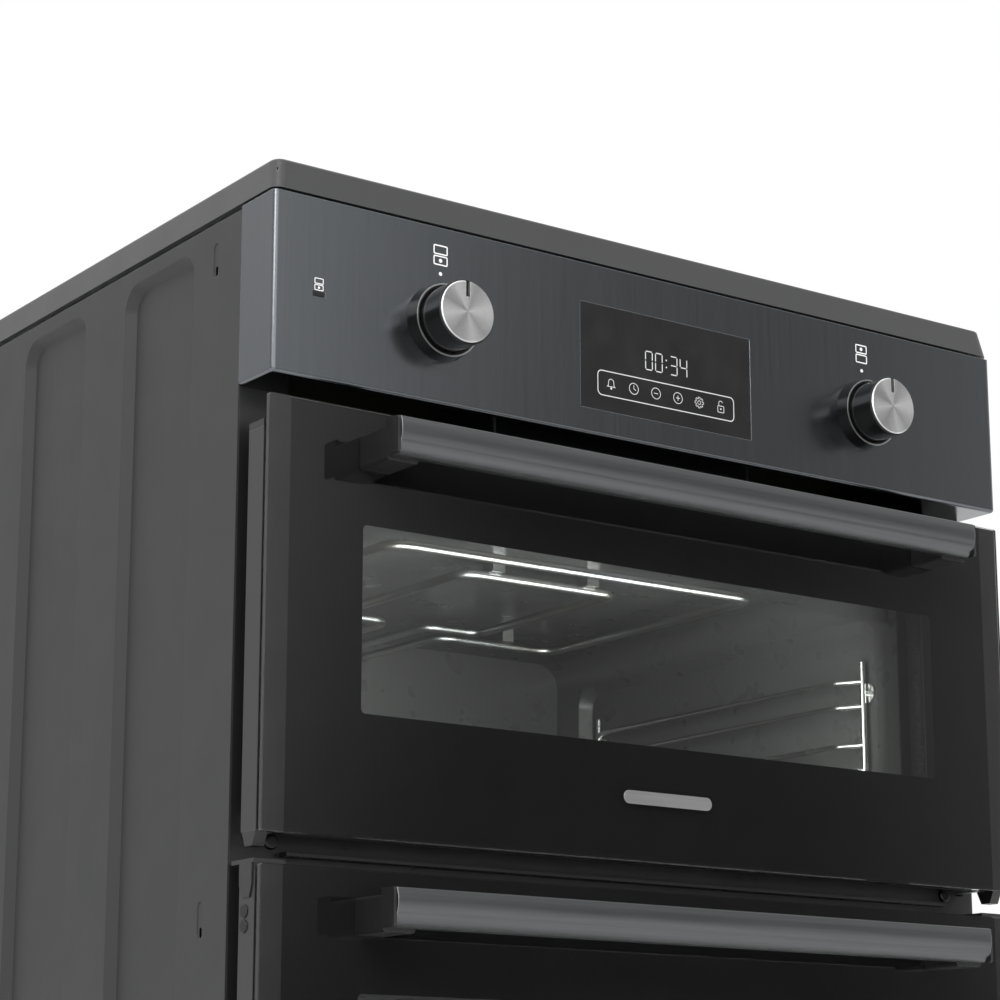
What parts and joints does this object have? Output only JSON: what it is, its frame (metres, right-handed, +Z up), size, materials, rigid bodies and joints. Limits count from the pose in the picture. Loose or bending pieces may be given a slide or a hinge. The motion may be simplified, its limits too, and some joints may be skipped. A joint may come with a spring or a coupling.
{
  "type": "double oven cooker",
  "caption": "Free-standing electric cooker: ceramic hob, control fascia with turning knobs and a display, and stacked ovens with drop-down glass doors.",
  "frame": {"origin": "centre of the whole box, on the floor under the feet", "axes": "+Z up, the doors and fascia face -Y, and +X runs to the right as seen from the front"},
  "size_m": [0.6, 0.6426, 0.9],
  "materials": {
    "side_enamel": "satin dark grey enamel",
    "zinc_sheet": "galvanised",
    "black_enamel": "gloss black enamel",
    "trim_steel": "satin anthracite",
    "ceramic_glass": "polished black",
    "heater_lining": "pressed fibre",
    "heating_wire": "oxidised",
    "oven_enamel": "vitreous enamel with fine flecks",
    "mineral_wool": "fibrous",
    "seal_rubber": "matte",
    "black_plastic": "moulded",
    "gloss_black": "polished",
    "cap_plastic": "moulded grey",
    "screw_steel": "plated",
    "element_tube": "oxidised sheath",
    "lamp_glass": "frosted",
    "chrome_wire": "bright",
    "fascia_steel": "anthracite, finely brushed",
    "display_glass": "polished dark window",
    "spun_aluminium": "spun",
    "fan_steel": "plain",
    "door_glass": "polished dark glass",
    "inner_glass": "clear",
    "door_profile": "satin grey",
    "handle_metal": "anthracite, brushed"
  },
  "bodies": {
    "carcass": {"left_side_panel": "side_enamel", "right_side_panel": "side_enamel", "back_panel": "zinc_sheet", "base_pan": "zinc_sheet", "plinth": "side_enamel", "front_frame": "black_enamel", "hob_frame": "trim_steel", "hob_glass": "ceramic_glass", "hob_tray": "zinc_sheet", "heater_dishes": "heater_lining", "heater_coils": "heating_wire", "upper_oven_liner": "oven_enamel", "lower_oven_liner": "oven_enamel", "oven_insulation": "mineral_wool", "door_seals": "seal_rubber", "terminal_cover": "black_plastic", "cable_gland": "black_plastic", "terminal_block": "black_plastic", "panel_screws": "screw_steel", "grill_element": "element_tube", "tubular_elements": "element_tube", "oven_lamps": "lamp_glass", "upper_side_racks": "chrome_wire", "lower_side_racks": "chrome_wire", "fan_baffle": "oven_enamel", "fan_motor": "zinc_sheet", "cooling_fan_housing": "zinc_sheet", "control_fascia": "fascia_steel", "display_glass": "display_glass", "timer_module": "black_plastic", "pilot_lens": "display_glass", "knob_bezels": "gloss_black", "rotary_switches": "black_plastic", "hinge_brackets": "zinc_sheet", "hinge_springs": "screw_steel"},
    "left_knob": {"left_knob": "gloss_black", "left_knob_cap": "spun_aluminium"},
    "right_knob": {"right_knob": "gloss_black", "right_knob_cap": "spun_aluminium"},
    "oven_fan": {"convection_fan": "fan_steel"},
    "cooling_rotor": {"cooling_fan": "fan_steel"},
    "upper_door": {"upper_door_glass": "door_glass", "upper_door_frame": "door_profile", "upper_door_inner_glass": "inner_glass", "upper_door_end_caps": "cap_plastic", "upper_handle_bar": "handle_metal", "upper_handle_legs": "black_plastic", "upper_hinge_arms": "zinc_sheet"},
    "lower_door": {"lower_door_glass": "door_glass", "lower_door_frame": "door_profile", "lower_door_inner_glass": "inner_glass", "lower_door_end_caps": "cap_plastic", "lower_handle_bar": "handle_metal", "lower_handle_legs": "black_plastic", "lower_hinge_arms": "zinc_sheet", "door_screws": "screw_steel"},
    "front_left_foot": {"front_left_foot": "black_plastic"},
    "rear_left_foot": {"rear_left_foot": "black_plastic"},
    "front_right_foot": {"front_right_foot": "black_plastic"},
    "rear_right_foot": {"rear_right_foot": "black_plastic"}
  },
  "joints": [
    {"name": "upper_door_hinge", "type": "hinge", "parent": "carcass", "child": "upper_door", "pos_m": [0, -0.2607, 0.5017], "axis": [1, 0, 0], "range_deg": [0, 90], "stiffness_Nm_per_rad": 2, "springref_deg": -28.65},
    {"name": "lower_door_hinge", "type": "hinge", "parent": "carcass", "child": "lower_door", "pos_m": [0, -0.2607, 0.098], "axis": [1, 0, 0], "range_deg": [0, 90], "stiffness_Nm_per_rad": 5, "springref_deg": -28.65},
    {"name": "left_knob_turn", "type": "hinge", "parent": "carcass", "child": "left_knob", "pos_m": [-0.18, -0.2987, 0.8156], "axis": [0, 1, 0], "range_deg": [0, 270]},
    {"name": "right_knob_turn", "type": "hinge", "parent": "carcass", "child": "right_knob", "pos_m": [0.174, -0.2987, 0.8156], "axis": [0, 1, 0], "range_deg": [0, 270]},
    {"name": "oven_fan_spin", "type": "hinge", "parent": "carcass", "child": "oven_fan", "pos_m": [0, 0.1905, 0.28035], "axis": [0, 1, 0], "continuous": true},
    {"name": "cooling_fan_spin", "type": "hinge", "parent": "carcass", "child": "cooling_rotor", "pos_m": [0, -0.0895, 0.7689], "axis": [1, 0, 0], "continuous": true},
    {"name": "front_left_foot_screw", "type": "slide", "parent": "carcass", "child": "front_left_foot", "axis": [0, 0, -1], "range_m": [0, 0.02]},
    {"name": "rear_left_foot_screw", "type": "slide", "parent": "carcass", "child": "rear_left_foot", "axis": [0, 0, -1], "range_m": [0, 0.02]},
    {"name": "front_right_foot_screw", "type": "slide", "parent": "carcass", "child": "front_right_foot", "axis": [0, 0, -1], "range_m": [0, 0.02]},
    {"name": "rear_right_foot_screw", "type": "slide", "parent": "carcass", "child": "rear_right_foot", "axis": [0, 0, -1], "range_m": [0, 0.02]}
  ]
}
